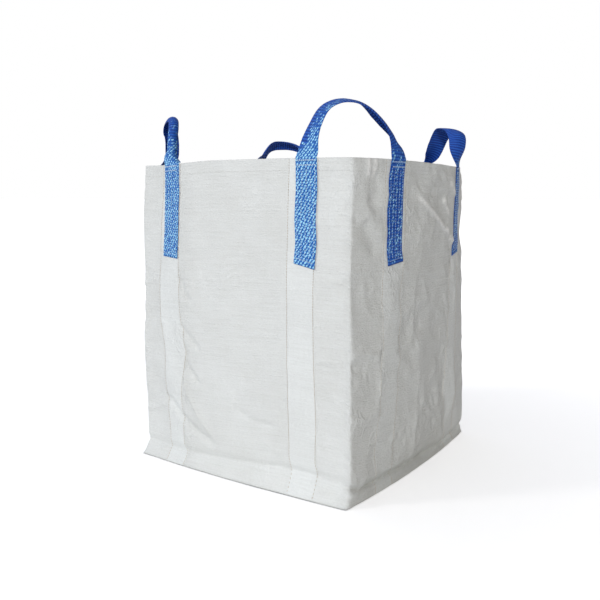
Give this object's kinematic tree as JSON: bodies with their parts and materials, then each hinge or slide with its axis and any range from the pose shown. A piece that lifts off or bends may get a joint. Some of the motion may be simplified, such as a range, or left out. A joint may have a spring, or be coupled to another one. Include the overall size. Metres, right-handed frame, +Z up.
{
  "type": "bulk bag",
  "caption": "Open-top woven bulk bag with square body, sewn flat bottom, reinforcing bands and webbing lift loops across its corners.",
  "frame": {"origin": "middle of the footprint on the floor", "axes": "+Z up through the open mouth, -Y towards the front face, +X towards the right face"},
  "size_m": [1.074, 0.9898, 1.291],
  "materials": {
    "woven_fabric": "matt coated tape weave, fine horizontal ribs",
    "reinforced_fabric": "denser and smoother tape weave",
    "webbing": "blue twill webbing with pale flecks",
    "webbing_thread": "twisted pale sewing thread",
    "seam_thread": "white chain stitch",
    "band_thread": "thin tan running stitch"
  },
  "bodies": {
    "bag": {"wall_front": "woven_fabric", "wall_right": "woven_fabric", "wall_back": "woven_fabric", "wall_left": "woven_fabric", "base_fin_front": "woven_fabric", "base_fin_right": "woven_fabric", "base_fin_back": "woven_fabric", "base_fin_left": "woven_fabric", "bottom_panel": "woven_fabric", "base_seam_stitching": "seam_thread", "top_hem": "woven_fabric", "hem_stitching": "seam_thread", "band_front_left": "reinforced_fabric", "band_front_right": "reinforced_fabric", "band_right_left": "reinforced_fabric", "band_right_right": "reinforced_fabric", "band_back_left": "reinforced_fabric", "band_back_right": "reinforced_fabric", "band_left_left": "reinforced_fabric", "band_left_right": "reinforced_fabric", "band_stitching_front": "band_thread", "band_stitching_right": "band_thread", "band_stitching_back": "band_thread", "band_stitching_left": "band_thread", "leg_front_left": "webbing", "leg_front_right": "webbing", "leg_right_left": "webbing", "leg_right_right": "webbing", "leg_back_left": "webbing", "leg_back_right": "webbing", "leg_left_left": "webbing", "leg_left_right": "webbing", "leg_stitching_front_left": "webbing_thread", "leg_stitching_front_right": "webbing_thread", "leg_stitching_right_left": "webbing_thread", "leg_stitching_right_right": "webbing_thread", "leg_stitching_back_left": "webbing_thread", "leg_stitching_back_right": "webbing_thread", "leg_stitching_left_left": "webbing_thread", "leg_stitching_left_right": "webbing_thread", "loop_bend_front_right": "webbing", "loop_bend_back_right": "webbing", "loop_bend_back_left": "webbing", "loop_bend_front_left": "webbing"},
    "loop_front_right": {"loop_arch_front_right": "webbing"},
    "loop_back_right": {"loop_arch_back_right": "webbing"},
    "loop_back_left": {"loop_arch_back_left": "webbing"},
    "loop_front_left": {"loop_arch_front_left": "webbing"}
  },
  "joints": [
    {"name": "loop_fold_front_right", "type": "hinge", "parent": "bag", "child": "loop_front_right", "pos_m": [0.4021, -0.36145, 1.135], "axis": [0.7028, 0.7114, 0], "range_deg": [-85, 92], "stiffness_Nm_per_rad": 0.15, "deforming": ["loop_bend_front_right"]},
    {"name": "loop_fold_back_right", "type": "hinge", "parent": "bag", "child": "loop_back_right", "pos_m": [0.39646, 0.38155, 1.135], "axis": [-0.7582, 0.652, 0], "range_deg": [-94, 83], "stiffness_Nm_per_rad": 0.15, "deforming": ["loop_bend_back_right"]},
    {"name": "loop_fold_back_left", "type": "hinge", "parent": "bag", "child": "loop_back_left", "pos_m": [-0.39646, 0.38155, 1.135], "axis": [-0.7582, -0.652, 0], "range_deg": [-130, 47], "stiffness_Nm_per_rad": 0.15, "deforming": ["loop_bend_back_left"]},
    {"name": "loop_fold_front_left", "type": "hinge", "parent": "bag", "child": "loop_front_left", "pos_m": [-0.39796, -0.38139, 1.135], "axis": [0.7542, -0.6567, 0], "range_deg": [-79, 98], "stiffness_Nm_per_rad": 0.15, "deforming": ["loop_bend_front_left"]}
  ]
}
